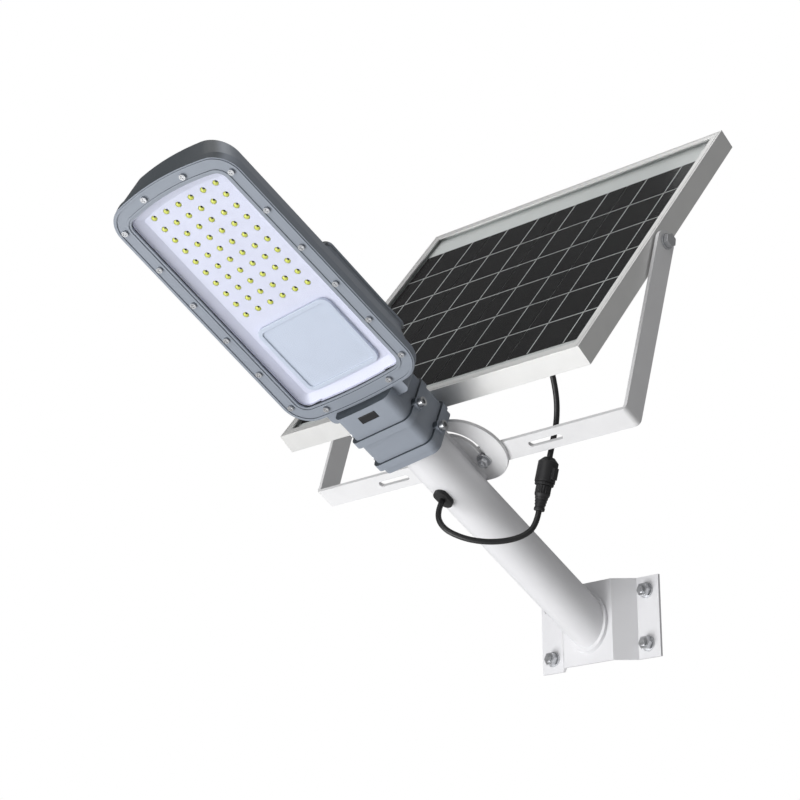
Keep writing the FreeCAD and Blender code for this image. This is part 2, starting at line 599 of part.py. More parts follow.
pivot_bolts = []
pivot_washers = []
pivot_inserts = []
half_panel = "(panel_width/2)"
washer_face = "(%s+joint_gap)" % arm_outer
for s in (-1, 1):
    turn = (Y_AXIS, 90 * s)      # +X on the right side, -X on the left
    tag = str(s + 1)

    def out(distance):
        return ("%d*(%s)" % (s, distance), 0, 0)

    shank = rod("pivot_shank_" + tag, "pivot_radius", out(half_panel + "-insert_length"),
                "insert_length+arm_gap+strip_sheet+joint_gap+1.6", turn)
    head = primitive("Prism", "pivot_head_" + tag, out(washer_face + "+1.6"), turn,
                     Circumradius="pivot_radius*1.88", Height="5.3")
    pivot_bolts.append(fuse("pivot_bolt_" + tag, shank, head))
    pivot_washers.append(ring("pivot_washer_" + tag, "pivot_radius*2.12", "pivot_radius+0.2",
                              out(washer_face),
                              "1.6", turn))
    pivot_washers.append(ring("pivot_spacer_" + tag, "pivot_radius*2.4", "pivot_radius+0.2", out(half_panel),
                              "arm_gap-joint_gap", turn))
    pivot_inserts.append(ring("pivot_insert_" + tag, "insert_radius", "pivot_radius",
                              out(half_panel + "-insert_length"), "insert_length", turn))
keep("pivot_bolts", group("pivot_bolt_group", pivot_bolts), panel_frame)
keep("pivot_washers", group("pivot_washer_group", pivot_washers), panel_frame)
keep("pivot_inserts", group("pivot_insert_group", pivot_inserts), panel_frame)

# ---------------------------------------------------------------- lamp head
rim_low = -size("rim_level")
lens_low = rim_low + size("rim_sheet")
gasket_low = lens_low + size("lens_sheet")
seat = gasket_low + size("gasket_sheet")          # the housing's face on the gasket
top = size("housing_top")
LEDGE = 4        # outer lip of the housing, which stands round the clear cover
SMALLEST_CORNER = 4


def head_outline(inset, reach=0):
    """The head's bowed outline, set in and with rounded corners, as a face at level 0.

    With a reach, the tip edge is moved out that far, so that the tip wall stands upright."""
    base_half, tip_half = size("base_half"), size("tip_half")
    base, tip, bow = -size("head_base"), -size("head_tip") - reach, size("head_bow")
    right_base, left_base = Vector(base_half, base - bow / 2, 0), Vector(-base_half, base - bow / 2, 0)
    right_tip, left_tip = Vector(tip_half, tip + bow, 0), Vector(-tip_half, tip + bow, 0)
    edges = [Part.Arc(left_base, Vector(0, base, 0), right_base).toShape(),
             Part.LineSegment(right_base, right_tip).toShape(),
             Part.Arc(right_tip, Vector(0, tip, 0), left_tip).toShape(),
             Part.LineSegment(left_tip, left_base).toShape()]
    face = Part.Face(Part.Wire(edges))
    corner = size("head_corner") if reach else max(size("head_corner") - inset, SMALLEST_CORNER)
    return face.makeOffset2D(-inset - corner).makeOffset2D(corner)


def slab(inset, low, high):
    """A plate with the head's outline."""
    face = head_outline(inset)
    face.translate(Vector(0, 0, low))
    return face.extrude(Vector(0, 0, high - low))


def tapered(inset_low, inset_high, low, high, reach_low=0, reach_high=0):
    """A solid that narrows from one outline to another."""
    wires = []
    for inset, reach, level in ((inset_low, reach_low, low), (inset_high, reach_high, high)):
        wire = head_outline(inset, reach).OuterWire
        wire.translate(Vector(0, 0, level))
        wires.append(wire)
    return Part.makeLoft(wires, True, True)


def block(x, stations, z):
    """A box from (low, high) pairs; stations are measured up the tube."""
    return Part.makeBox(x[1] - x[0], stations[1] - stations[0], z[1] - z[0], Vector(x[0], -stations[1], z[0]))


def post(x, station, z, radius, height):
    return Part.makeCylinder(radius, height, Vector(x, -station, z))


wall = size("housing_wall")
sleeve_half, sleeve_rise = size("sleeve_half"), size("sleeve_rise")
sleeve_start, head_base, head_tip = size("sleeve_start"), size("head_base"), size("head_tip")
bore_radius = size("tube_radius") + size("sleeve_slack")
cover_half, cover_start, cover_end = size("cover_half"), size("cover_start"), size("cover_end")
cover_rise = size("cover_rise")
led_start, led_pitch = size("led_start"), size("led_pitch")
led_end = led_start + (LED_ROWS - 1) * led_pitch

# sleeve: a square socket with two collars and screw bosses, cast in one with the housing
COLLAR = 3
BOSS_LEVEL = -8
screw_stations = (sleeve_start + 12, sleeve_start + 47)
sleeve = block((-sleeve_half, sleeve_half), (sleeve_start, head_base + 6), (-sleeve_rise, sleeve_rise))
sleeve = sleeve.makeFillet(9, [e for e in sleeve.Edges if abs(e.tangentAt(e.FirstParameter).y) > 0.99])
for station in screw_stations:
    collar = block((-sleeve_half - COLLAR, sleeve_half + COLLAR), (station - 4, station + 4),
                   (-sleeve_rise - COLLAR, sleeve_rise))
    collar = collar.makeFillet(9, [e for e in collar.Edges if abs(e.tangentAt(e.FirstParameter).y) > 0.99])
    sleeve = sleeve.fuse(collar)
    for sign in (-1, 1):
        boss = Part.makeCylinder(7, sleeve_half + 6, Vector(0, -station, BOSS_LEVEL), Vector(sign, 0, 0))
        sleeve = sleeve.fuse(boss)
shoulder = block((-sleeve_half - 14, sleeve_half + 14), (head_base - 12, head_base + 8), (rim_low + 2,
                                                                                          top - 2))
shoulder = shoulder.makeFillet(6, [e for e in shoulder.Edges if abs(e.tangentAt(e.FirstParameter).z) > 0.99])
sleeve = sleeve.fuse(shoulder)

RIM_GAP = 0.3      # the sleeve's casting stands clear of the rim
LIP_RISE = 4       # height of the upright lip above the gasket seat
DRAFT_LOW, DRAFT_TOP = 3, 15     # how far the sides stand in, above the lip and at the top
SEAT_WIDTH = 8     # width of the seat that the gasket lies on
rim_room = slab(-RIM_GAP, -sleeve_rise - 1, lens_low)
body = slab(0, lens_low, seat + LIP_RISE).fuse(tapered(DRAFT_LOW, DRAFT_TOP, seat + LIP_RISE, top, DRAFT_LOW - 0.5,
                                                   DRAFT_TOP - 1))
body = body.fuse(sleeve.cut(rim_room))
walls = block((-cover_half - wall, cover_half + wall), (cover_start - wall, cover_end + wall), (top - 4,
                                                                                                cover_rise))
walls = walls.makeFillet(8, [e for e in walls.Edges if abs(e.tangentAt(e.FirstParameter).z) > 0.99])
body = body.fuse(walls)
FIN_GAP = 12
for i in range(-4, 5):
    body = body.fuse(block((i * FIN_GAP - 1.25, i * FIN_GAP + 1.25), (cover_end + 14, head_tip - 40),
                           (top - 1, top + 9)))
inner_edge = LEDGE + SEAT_WIDTH
hollow = slab(LEDGE, lens_low - 1, seat).fuse(slab(inner_edge, seat - 1, seat + LIP_RISE))
hollow = hollow.fuse(tapered(inner_edge, DRAFT_TOP + wall, seat + LIP_RISE, top - wall, 1, DRAFT_TOP - 1))
hollow = hollow.fuse(block((-cover_half, cover_half), (cover_start, cover_end), (top - wall - 1,
                                                                                 cover_rise + 1)))
bore = Part.makeCylinder(bore_radius, size("tube_end") + 1 - sleeve_start + 1, Vector(0,
                                                                                      -sleeve_start + 1, 0),
                         Vector(0, -1, 0))
throat = Part.makeCylinder(9, 30, Vector(0, -size("tube_end"), 0), Vector(0, -1, 0))
body = body.cut(hollow).cut(bore).cut(throat)
for station in screw_stations:
    body = body.cut(Part.makeCylinder(3, 2 * sleeve_half + 20, Vector(-sleeve_half - 10, -station,
                                                                      BOSS_LEVEL), X_AXIS))
TOP_SCREW = sleeve_start + 5
body = body.cut(post(0, TOP_SCREW, 0, 2.5, sleeve_rise + 5))
WINDOW_HALF, WINDOW_LONG = 11, 9
window_start = head_base - 16
window_span = (window_start, window_start + WINDOW_LONG)
body = body.cut(block((-WINDOW_HALF, WINDOW_HALF), window_span, (-sleeve_rise - 1, -sleeve_rise + 1.5)))
BOSS_INSET = 4       # puts each boss into the corner of the compartment's walls
COVER_SCREWS = [(sx * (cover_half - BOSS_INSET), station)
                for sx in (-1, 1) for station in (cover_start + BOSS_INSET, cover_end - BOSS_INSET)]
bosses = None
for x, station in COVER_SCREWS:
    boss = post(x, station, top - wall, 4.5, cover_rise - top + wall)
    bosses = boss if bosses is None else bosses.fuse(boss)
body = body.fuse(bosses)
for x, station in COVER_SCREWS:
    body = body.cut(post(x, station, cover_rise - 12, 1.6, 20))


def rim_screw_places():
    """Six screws down each side, two at each end."""
    inner = size("rim_width") / 2
    places = []
    for i in range(6):
        share = (i + 0.6) / 6.2
        station = head_base + share * (head_tip - head_base)
        half = size("base_half") + share * (size("tip_half") - size("base_half")) - inner
        places += [(half, station), (-half, station)]
    for x in (-26, 26):
        places += [(x, head_tip - inner - 1), (1.6 * x, head_base + inner + 2)]
    return places


rim_places = rim_screw_places()
for x, station in rim_places:
    body = body.cut(post(x, station, seat - 1, 1.4, 5))
keep_shape("housing", body.removeSplitter(), head_frame)

# rim with two low ridges, its screws, the clear cover and the gasket behind it
rim_width = size("rim_width")
rim = slab(0, rim_low, lens_low)
RIDGES = (1.5, 13.5)     # how far each ridge of the rim stands in from its edge
for inset in RIDGES:
    rim = rim.fuse(slab(inset, rim_low - 1, rim_low).cut(slab(inset + 2, rim_low - 2, rim_low + 1)))
rim = rim.cut(slab(rim_width, rim_low - 2, lens_low + 1))
lens = slab(LEDGE + 0.5, lens_low, gasket_low)
gasket = slab(LEDGE + 0.5, gasket_low, seat).cut(slab(inner_edge, gasket_low - 1, seat + 1))
screws = []
for x, station in rim_places:
    rim = rim.cut(post(x, station, rim_low - 3, 1.8, 10))
    lens = lens.cut(post(x, station, lens_low - 1, 1.8, 5))
    gasket = gasket.cut(post(x, station, lens_low - 1, 1.8, 9))
    screw = post(x, station, rim_low - 2.4, 3.2, 2.4).fuse(post(x, station, rim_low - 1, 1.4,
                                                                seat + 4 - rim_low))
    driver = Part.makeBox(4, 0.8, 0.8, Vector(x - 2, -station - 0.4, rim_low - 2.5))
    cross = Part.makeBox(0.8, 4, 0.8, Vector(x - 0.4, -station - 2, rim_low - 2.5))
    screws.append(screw.cut(driver).cut(cross))
    rim = rim.cut(post(x, station, rim_low - 2, 3.2, 2))
keep_shape("rim_frame", rim, head_frame)
keep_shape("clear_cover", lens, head_frame)
keep_shape("rim_gasket", gasket, head_frame)
keep_shape("rim_screws", Part.Compound(screws), head_frame)

# reflector: a white tray behind the clear cover, open for the LEDs
tray_sheet, tray_depth = size("tray_sheet"), size("tray_depth")
tray_low = seat + 0.2
tray_floor = tray_low + tray_depth
shell = tapered(rim_width - 0.5, rim_width + 8, tray_low, tray_floor)
scoop = tapered(rim_width + 0.9, rim_width + 9.6, tray_low, tray_floor - tray_sheet)
tray = shell.cut(scoop)
led_spacing = size("led_spacing")
led_places = [((column - (LED_COLUMNS - 1) / 2) * led_spacing, led_start + row * led_pitch)
              for row in range(LED_ROWS) for column in range(LED_COLUMNS)]
led_radius = size("led_radius")
for x, station in led_places:
    tray = tray.cut(post(x, station, tray_floor - tray_sheet - 1, led_radius + 0.5, tray_sheet + 2))
keep_shape("reflector_tray", tray, head_frame)
board_sheet, spreader_sheet = size("board_sheet"), size("spreader_sheet")
board_x = (LED_COLUMNS * led_spacing) / 2 + 4
board_span = (led_start - led_pitch / 2 - 3, led_end + led_pitch / 2 + 3)
board_low = tray_floor + 0.2
keep_shape("led_board", block((-board_x, board_x), board_span, (board_low, board_low + board_sheet)),
           head_frame)
keep_shape("led_chips", Part.Compound([post(x, station, board_low - 2.2, led_radius, 2.2)
                                       for x, station in led_places]), head_frame)
keep_shape("heat_spreader", block((-board_x - 2, board_x + 2), board_span,
                                  (board_low + board_sheet,
                                   board_low + board_sheet + spreader_sheet)), head_frame)

# recess cover: the flat panel with a raised border between the LEDs and the base
RECESS_HALF, RECESS_RIDGE, RECESS_CORNER = 47, 5, 10
recess_span = (head_base + 31, led_start - 20)
recess_low = tray_floor - tray_sheet - 2


def recess_block(inset, z):
    """A plate of the recess cover's outline with round corners, set in."""
    plate = block((-RECESS_HALF + inset, RECESS_HALF - inset), (recess_span[0] + inset,
                                                                recess_span[1] - inset), z)
    upright = [e for e in plate.Edges if abs(e.tangentAt(e.FirstParameter).z) > 0.99]
    return plate.makeFillet(RECESS_CORNER - inset, upright)


ridge_low = recess_low - 1.8
recess = recess_block(0, (recess_low, tray_floor - tray_sheet))
recess = recess.fuse(recess_block(0, (ridge_low, recess_low)).cut(
    recess_block(RECESS_RIDGE, (ridge_low - 1, recess_low + 1))))
keep_shape("recess_cover", recess, head_frame)

# battery, its tray and the controller board behind the reflector
cell_radius, cell_length = size("cell_radius"), size("cell_length")
battery_start = head_base + 34
tray_base = tray_floor + 0.3
CELLS = 3
cells = []
for i in range(CELLS):
    x = -46 + i * (2 * cell_radius + 1)
    cells.append(Part.makeCylinder(cell_radius, cell_length, Vector(x, -battery_start,
                                                                    tray_base + 1.8 + cell_radius),
                                   Vector(0, -1, 0)))
keep_shape("battery_cells", Part.Compound(cells), head_frame)
cell_left = -46 - cell_radius - 0.5
cell_right = -46 + (CELLS - 1) * (2 * cell_radius + 1) + cell_radius + 0.5
battery_span = (battery_start - 0.5, battery_start + cell_length + 0.5)
holder = block((cell_left - 2, cell_right + 2), (battery_span[0] - 2, battery_span[1] + 2), (tray_base,
                                                                                             tray_base + 10))
holder = holder.cut(block((cell_left, cell_right), battery_span, (tray_base + 1.8, tray_base + 12)))
keep_shape("battery_tray", holder, head_frame)
board = block((cell_right + 6, cell_right + 50), (battery_start, battery_start + 72), (tray_base,
                                                                                       tray_base + board_sheet))
for i in range(4):
    across = cell_right + 14 + 8 * i
    board = board.fuse(Part.makeCylinder(3, 9, Vector(across, -battery_start - 12, tray_base + board_sheet)))
board = board.fuse(block((cell_right + 12, cell_right + 34), (battery_start + 30, battery_start + 46),
                         (tray_base + board_sheet, tray_base + board_sheet + 4)))
keep_shape("controller_board", board, head_frame)

# top cover of the driver compartment, its seal and screws
cover_seal = block((-cover_half - wall, cover_half + wall), (cover_start - wall, cover_end + wall),
                   (cover_rise, cover_rise + 1)).cut(
    block((-cover_half, cover_half), (cover_start, cover_end), (cover_rise - 1, cover_rise + 2)))
cover = block((-cover_half - wall - 1, cover_half + wall + 1), (cover_start - wall - 1, cover_end + wall + 1),
              (cover_rise + 1, cover_rise + 1 + size("cover_sheet")))
cover = cover.makeFillet(8, [e for e in cover.Edges if abs(e.tangentAt(e.FirstParameter).z) > 0.99])
cover_screws = []
for x, station in COVER_SCREWS:
    cover = cover.cut(post(x, station, cover_rise, 1.8, 10))
    cover_screws.append(post(x, station, cover_rise - 9, 1.6, 10 + size("cover_sheet")).fuse(
        post(x, station, cover_rise + 1 + size("cover_sheet"), 3.2, 2.2)))
keep_shape("driver_cover", cover, head_frame)
keep_shape("cover_seal", cover_seal, head_frame)
keep_shape("cover_screws", Part.Compound(cover_screws), head_frame)

# clamp screws of the sleeve, the screw on top of it, and the receiver window under it
sleeve_screws = []
for station in screw_stations:
    for sign in (-1, 1):
        start = Vector(sign * (bore_radius + 0.1), -station, BOSS_LEVEL)
        reach_out = sleeve_half + 6 - bore_radius
        shank = Part.makeCylinder(3, reach_out, start, Vector(sign, 0, 0))
        head = Part.makeCylinder(5, 5, Vector(sign * (sleeve_half + 6), -station, BOSS_LEVEL),
                                 Vector(sign, 0, 0))
        socket = Part.makeCylinder(2.5, 3, Vector(sign * (sleeve_half + 8.5), -station, BOSS_LEVEL),
                                   Vector(sign, 0, 0))
        sleeve_screws.append(shank.fuse(head).cut(socket))
keep_shape("sleeve_screws", Part.Compound(sleeve_screws), head_frame)
top_screw = post(0, TOP_SCREW, bore_radius + 0.1, 2.5, sleeve_rise - bore_radius + 2).fuse(
    post(0, TOP_SCREW, sleeve_rise, 4, 4))
keep_shape("top_screw", top_screw, head_frame)
keep_shape("sensor_window", block((-WINDOW_HALF + 0.2, WINDOW_HALF - 0.2), (window_span[0] + 0.2,
                                                                            window_span[1] - 0.2),
                                  (-sleeve_rise - 0.4, -sleeve_rise + 1.5)), head_frame)

# ---------------------------------------------------------------- leads and their connector


def cord_solid(name, points, radius, frame=None):
    """A tube along straight runs joined by tangent arcs, each as large as its runs allow."""
    edges = []
    place = points[0]
    radii = []
    for before, corner, after in zip(points, points[1:], points[2:]):
        back, ahead = before - corner, after - corner
        half_turn = (math.pi - back.getAngle(ahead)) / 2
        trim = 0.45 * min(back.Length, ahead.Length)
        arc_radius = trim / math.tan(half_turn)
        radii.append(round(arc_radius, 1))
        back.normalize()
        ahead.normalize()
        start, finish = corner + back * trim, corner + ahead * trim
        inner = back + ahead
        inner.normalize()
        middle = corner + inner * (arc_radius / math.cos(half_turn) - arc_radius)
        edges.append(Part.LineSegment(place, start).toShape())
        edges.append(Part.Arc(start, middle, finish).toShape())
        place = finish
    edges.append(Part.LineSegment(place, points[-1]).toShape())
    path = Part.Wire(edges)
    section = Part.Wire(Part.Circle(points[0], points[1] - points[0], radius).toShape())
    solid = path.makePipeShell([section], True, False)
    expected = math.pi * radius ** 2 * path.Length
    print(name, "length", round(path.Length, 1), "radii", radii, "volume ratio",
          round(solid.Volume / expected, 4))
    if abs(solid.Volume / expected - 1) > 0.01:
        raise RuntimeError(name + " has the wrong volume")
    keep_shape(name, solid, frame)


lead_radius = size("lead_radius")
CONNECTOR_FOOT = Vector(86.5, -192, 80)
connector_axis = Vector(0.2, 0.1, 0.975)
connector_axis.normalize()
connector_frame = Placement(CONNECTOR_FOOT, Rotation(Z_AXIS, connector_axis))
plug_length, ring_length, socket_length = size("plug_length"), size("ring_length"), size("socket_length")
connector_top = CONNECTOR_FOOT + connector_axis * (plug_length + ring_length + socket_length)

plug_cone = primitive("Cone", "plug_cone", (0, 0, 0), Radius1="plug_radius-2.5", Radius2="plug_radius",
                      Height="plug_length-8")
plug_barrel = rod("plug_barrel", "plug_radius", (0, 0, "plug_length-8"), "8")
plug_spigot = rod("plug_spigot", "plug_radius-2", (0, 0, "plug_length"), "ring_length+8")
plug_pins = [rod("plug_pin_%d" % i, "1", (2.6 * math.cos(2.094 * i), 2.6 * math.sin(2.094 * i),
                                          "plug_length+ring_length+8"), "5") for i in range(3)]
keep("connector_plug", fuse("plug", plug_cone, plug_barrel, plug_spigot, *plug_pins), connector_frame)
keep("connector_ring", ring("coupling", "plug_radius+1.8", "plug_radius-2", (0, 0, "plug_length"),
                            "ring_length"),
     connector_frame)
socket_base = "(plug_length+ring_length)"
socket_barrel = rod("socket_barrel", "socket_radius", (0, 0, socket_base), "socket_length-5")
socket_neck = primitive("Cone", "socket_neck", (0, 0, socket_base + "+socket_length-5"),
                        Radius1="socket_radius",
                        Radius2="lead_radius+2.5", Height="5")
socket_tab = box("socket_tab", ("socket_radius-1", "socket_radius+3"), (-3, 3),
                 (socket_base + "+3", socket_base + "+15"))
socket_bore = rod("socket_bore", "plug_radius-1.9", (0, 0, socket_base), "14")
keep("connector_socket", cut("socket", fuse("socket_body", socket_barrel, socket_neck, socket_tab),
                             socket_bore),
     connector_frame)

# lamp lead: out of the grommet under the tube, in a loop and up into the connector
grommet_exit = arm_frame.multVec(Vector(0, -size("hole_station"), -size("tube_radius") - 4))
cord_solid("lamp_lead", [
    grommet_exit, Vector(0, -251.6, 82.8), Vector(9, -251.5, 65.5), Vector(26, -241.5, 54.5),
    Vector(42.5, -229, 49.5), Vector(59, -214.5, 49.5), Vector(74, -202.5, 54),
    CONNECTOR_FOOT - connector_axis * 16, CONNECTOR_FOOT], lead_radius)

# panel lead: out of the junction box gland, behind the cross bar and down into the connector
gland_tip = panel_frame.multVec(Vector(size("box_place"), -size("box_drop") - size("box_height") / 2
                                       - size("gland_length"), GLAND_LEVEL))
print("gland tip", gland_tip, "grommet exit", grommet_exit, "connector top", connector_top, "pivot",
      pivot_point)
cord_solid("panel_lead", [
    gland_tip, gland_tip - panel_frame.Rotation.multVec(Y_AXIS) * 20, Vector(122, -213, 230.5),
    Vector(119, -201, 209), Vector(112, -189, 190), Vector(104, -181.5, 171),
    connector_top + connector_axis * 18, connector_top], lead_radius)

# inner lead: through the grommet and up the inside of the tube to the controller
cord_solid("inner_lead", [
    Vector(0, -239, -29), Vector(0, -239, -11), Vector(0.5, -252, 2), Vector(1, -272, 5), Vector(0, -308, 4),
    Vector(-1, -350, 2), Vector(0, -388, 3)], lead_radius, arm_frame)

# ---------------------------------------------------------------- check and write
doc.recompute()
for thing in doc.Objects:
    if "Invalid" in thing.State or "Error" in thing.State:
        raise RuntimeError("%s (%s) failed: %s" % (thing.Label, thing.Name, thing.State))
for node, solid in parts.items():
    shape = solid.Shape
    if shape.isNull() or not shape.isValid() or not shape.Solids:
        raise RuntimeError(node + " has no valid solid")
for node, solid in parts.items():
    solid.Shape.exportStep("parts/%s.step" % node)
print(len(parts), "sub-parts written")
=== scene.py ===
import json
import math

import bmesh
import bpy
from mathutils import Matrix, Vector

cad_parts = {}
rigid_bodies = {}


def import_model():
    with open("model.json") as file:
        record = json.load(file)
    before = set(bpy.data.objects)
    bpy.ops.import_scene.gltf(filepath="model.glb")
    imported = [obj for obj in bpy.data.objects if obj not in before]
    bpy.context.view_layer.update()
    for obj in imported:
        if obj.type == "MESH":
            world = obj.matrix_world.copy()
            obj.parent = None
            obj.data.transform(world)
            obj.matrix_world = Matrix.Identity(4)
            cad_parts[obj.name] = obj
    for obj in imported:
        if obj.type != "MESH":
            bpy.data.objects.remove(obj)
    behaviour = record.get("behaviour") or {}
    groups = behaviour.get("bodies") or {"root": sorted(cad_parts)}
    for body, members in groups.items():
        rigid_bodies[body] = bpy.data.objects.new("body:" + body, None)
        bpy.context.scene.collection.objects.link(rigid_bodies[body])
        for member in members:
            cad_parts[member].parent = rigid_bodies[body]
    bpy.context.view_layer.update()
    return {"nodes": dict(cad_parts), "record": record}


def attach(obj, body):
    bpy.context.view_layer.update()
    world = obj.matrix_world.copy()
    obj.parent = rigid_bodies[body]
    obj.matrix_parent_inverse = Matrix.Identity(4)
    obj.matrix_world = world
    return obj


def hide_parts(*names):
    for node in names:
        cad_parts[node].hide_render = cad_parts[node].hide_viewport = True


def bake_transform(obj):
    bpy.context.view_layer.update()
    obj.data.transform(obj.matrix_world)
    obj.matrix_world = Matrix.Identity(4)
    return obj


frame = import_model()

# ------------------------------------------------------------ camera
# The lamp is seen from below and from its right side, from about two and a half metres away.
# A long lens keeps the perspective slight.
CAMERA_PLACE = Vector((1.4860, -1.7458, -0.4379))
CAMERA_ROUND, CAMERA_RISE, CAMERA_ROLL = math.radians(45.83), math.radians(-16.93), math.radians(0.26)
forward = Vector((-math.sin(CAMERA_ROUND) * math.cos(CAMERA_RISE),
                  math.cos(CAMERA_ROUND) * math.cos(CAMERA_RISE), -math.sin(CAMERA_RISE)))
level_right = Vector((math.cos(CAMERA_ROUND), math.sin(CAMERA_ROUND), 0))
right = Matrix.Rotation(CAMERA_ROLL, 3, forward) @ level_right
up = right.cross(forward)
camera = bpy.data.objects.new("camera", bpy.data.cameras.new("camera"))
camera.data.lens = 96.0
camera.data.sensor_width = 36.0
camera.matrix_world = Matrix.Translation(CAMERA_PLACE) @ Matrix((right, up, -forward)).transposed().to_4x4()
bpy.context.scene.collection.objects.link(camera)
bpy.context.scene.camera = camera

# ------------------------------------------------------------ wall bracket and arm
# The bracket is a steel plate pressed to a hat section, and the arm is a round steel tube welded to its
# raised middle. A short saddle on the tube carries the arc plate. All are powder coated white after welding.
nodes = frame["nodes"]
slot_of_node = {part["node"]: part["material_slot"] for part in frame["record"]["subparts"]}
bodies = frame["record"]["behaviour"]["bodies"]
body_of_node = {node: body for body, members in bodies.items() for node in members}
finishes = {}


class Field:
    """A value that varies over a finish, with its arithmetic written as plain expressions."""

    def __init__(self, finish, socket):
        self.finish = finish
        self.socket = socket

    def __add__(self, other):
        return self.finish.node("Math", {"operation": "ADD"}, {0: self, 1: other})

    def __mul__(self, other):
        return self.finish.node("Math", {"operation": "MULTIPLY"}, {0: self, 1: other})

    __radd__ = __add__
    __rmul__ = __mul__


class Finish:
    """A surface finish: constants on the shader, and what varies worked out by nodes."""

    def __init__(self, name, constants):
        self.material = bpy.data.materials.new(name)
        self.material.use_nodes = True
        self.tree = self.material.node_tree
        self.shader = self.tree.nodes["Principled BSDF"]
        for socket, value in constants.items():
            self.shader.inputs[socket].default_value = value

    def feed(self, socket, value):
        if isinstance(value, Field):
            self.tree.links.new(value.socket, socket)
        else:
            socket.default_value = value

    def node(self, kind, settings=None, sockets=None, output=0):
        """One node: its settings first, then the values or links of its sockets."""
        made = self.tree.nodes.new("ShaderNode" + kind)
        for setting, value in (settings or {}).items():
            setattr(made, setting, value)
        for socket, value in (sockets or {}).items():
            self.feed(made.inputs[socket], value)
        return Field(self, made.outputs[output])

    def vary(self, **values):
        """Feeds the shader; an underscore in a name stands for the space in the socket's name."""
        for socket, value in values.items():
            self.feed(self.shader.inputs[socket.replace("_", " ")], value)

    def noise(self, scale, detail=2.0, stretch=(1, 1, 1)):
        where = self.node("TexCoord", output="Object")
        place = self.node("Mapping", {}, {"Vector": where, "Scale": stretch})
        return self.node("TexNoise", {}, {"Vector": place, "Scale": scale, "Detail": detail})

    def mix(self, factor, first, second):
        return self.node("Mix", {"data_type": "RGBA"}, {0: factor, 6: first, 7: second}, 2)

    def bump(self, height, strength, distance):
        sockets = {"Height": height, "Strength": strength, "Distance": distance}
        self.vary(Normal=self.node("Bump", {}, sockets))


def tone(red, green, blue):
    return (red, green, blue, 1.0)


def darker(colour, share):
    return tone(*(part * share for part in colour[:3]))


def dress(slot, recipe, *looks):
    """Makes the finish of a slot and puts it on the CAD parts that take it."""
    finishes[slot] = recipe(slot, *looks)
    for node, taken in slot_of_node.items():
        if taken == slot:
            nodes[node].data.materials.clear()
            nodes[node].data.materials.append(finishes[slot])


def powder_coat(name, colour, roughness):
    """Sprayed and baked paint: a fine orange peel and a faint unevenness in tone."""
    finish = Finish(name, {"IOR": 1.48})
    cloud = finish.noise(22, 4.0)
    finish.vary(Base_Color=finish.mix(cloud, darker(colour, 0.90), colour),
                Roughness=roughness - 0.06 + cloud * 0.12)
    finish.bump(finish.noise(1300, 3.0), 0.16, 0.0002)
    return finish.material


def eased(node, width):
    """A copy of a CAD node with its loose triangles joined and its edges rounded."""
    sharp = math.radians(35)
    source = nodes[node].data
    mesh = bpy.data.meshes.new(node + "_eased")
    mesh.from_pydata([v.co for v in source.vertices], [], [tuple(p.vertices) for p in source.polygons])
    shape = bmesh.new()
    shape.from_mesh(mesh)
    bmesh.ops.remove_doubles(shape, verts=shape.verts, dist=2e-6)
    bmesh.ops.dissolve_limit(shape, angle_limit=math.radians(0.8), verts=shape.verts, edges=shape.edges)
    shape.to_mesh(mesh)
    shape.free()
    mesh.materials.append(finishes[slot_of_node[node]])
    mesh.shade_smooth()
    mesh.set_sharp_from_angle(angle=sharp)
    piece = bpy.data.objects.new(node + "_eased", mesh)
    bpy.context.scene.collection.objects.link(piece)
    rounding = piece.modifiers.new("rounding", "BEVEL")
    rounding.width = width
    rounding.segments = 2
    rounding.limit_method = "ANGLE"
    rounding.angle_limit = sharp
    rounding.use_clamp_overlap = True
    rounding.harden_normals = True
    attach(piece, body_of_node[node])
    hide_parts(node)
    return piece


dress("white_paint", powder_coat, tone(0.80, 0.80, 0.82), 0.42)
eased("wall_bracket", 0.0007)


# ------------------------------------------------------------ wall anchors
# Four zinc plated steel anchors hold the bracket to the wall, each with a washer and a hexagon nut.
# Their rolled thread stands out of the nuts, and each of its turns is a fine raised ridge.
def zinc_plate(name, colour, roughness):
    """Bright zinc or stainless fasteners, a little uneven, duller in patches."""
    finish = Finish(name, {"Metallic": 1.0})
    patch = finish.noise(420, 4.0)
    finish.vary(Base_Color=finish.mix(patch, darker(colour, 0.72), colour),
                Roughness=roughness - 0.1 + patch * 0.28)
    finish.bump(finish.noise(2600), 0.10, 0.0001)
    return finish.material


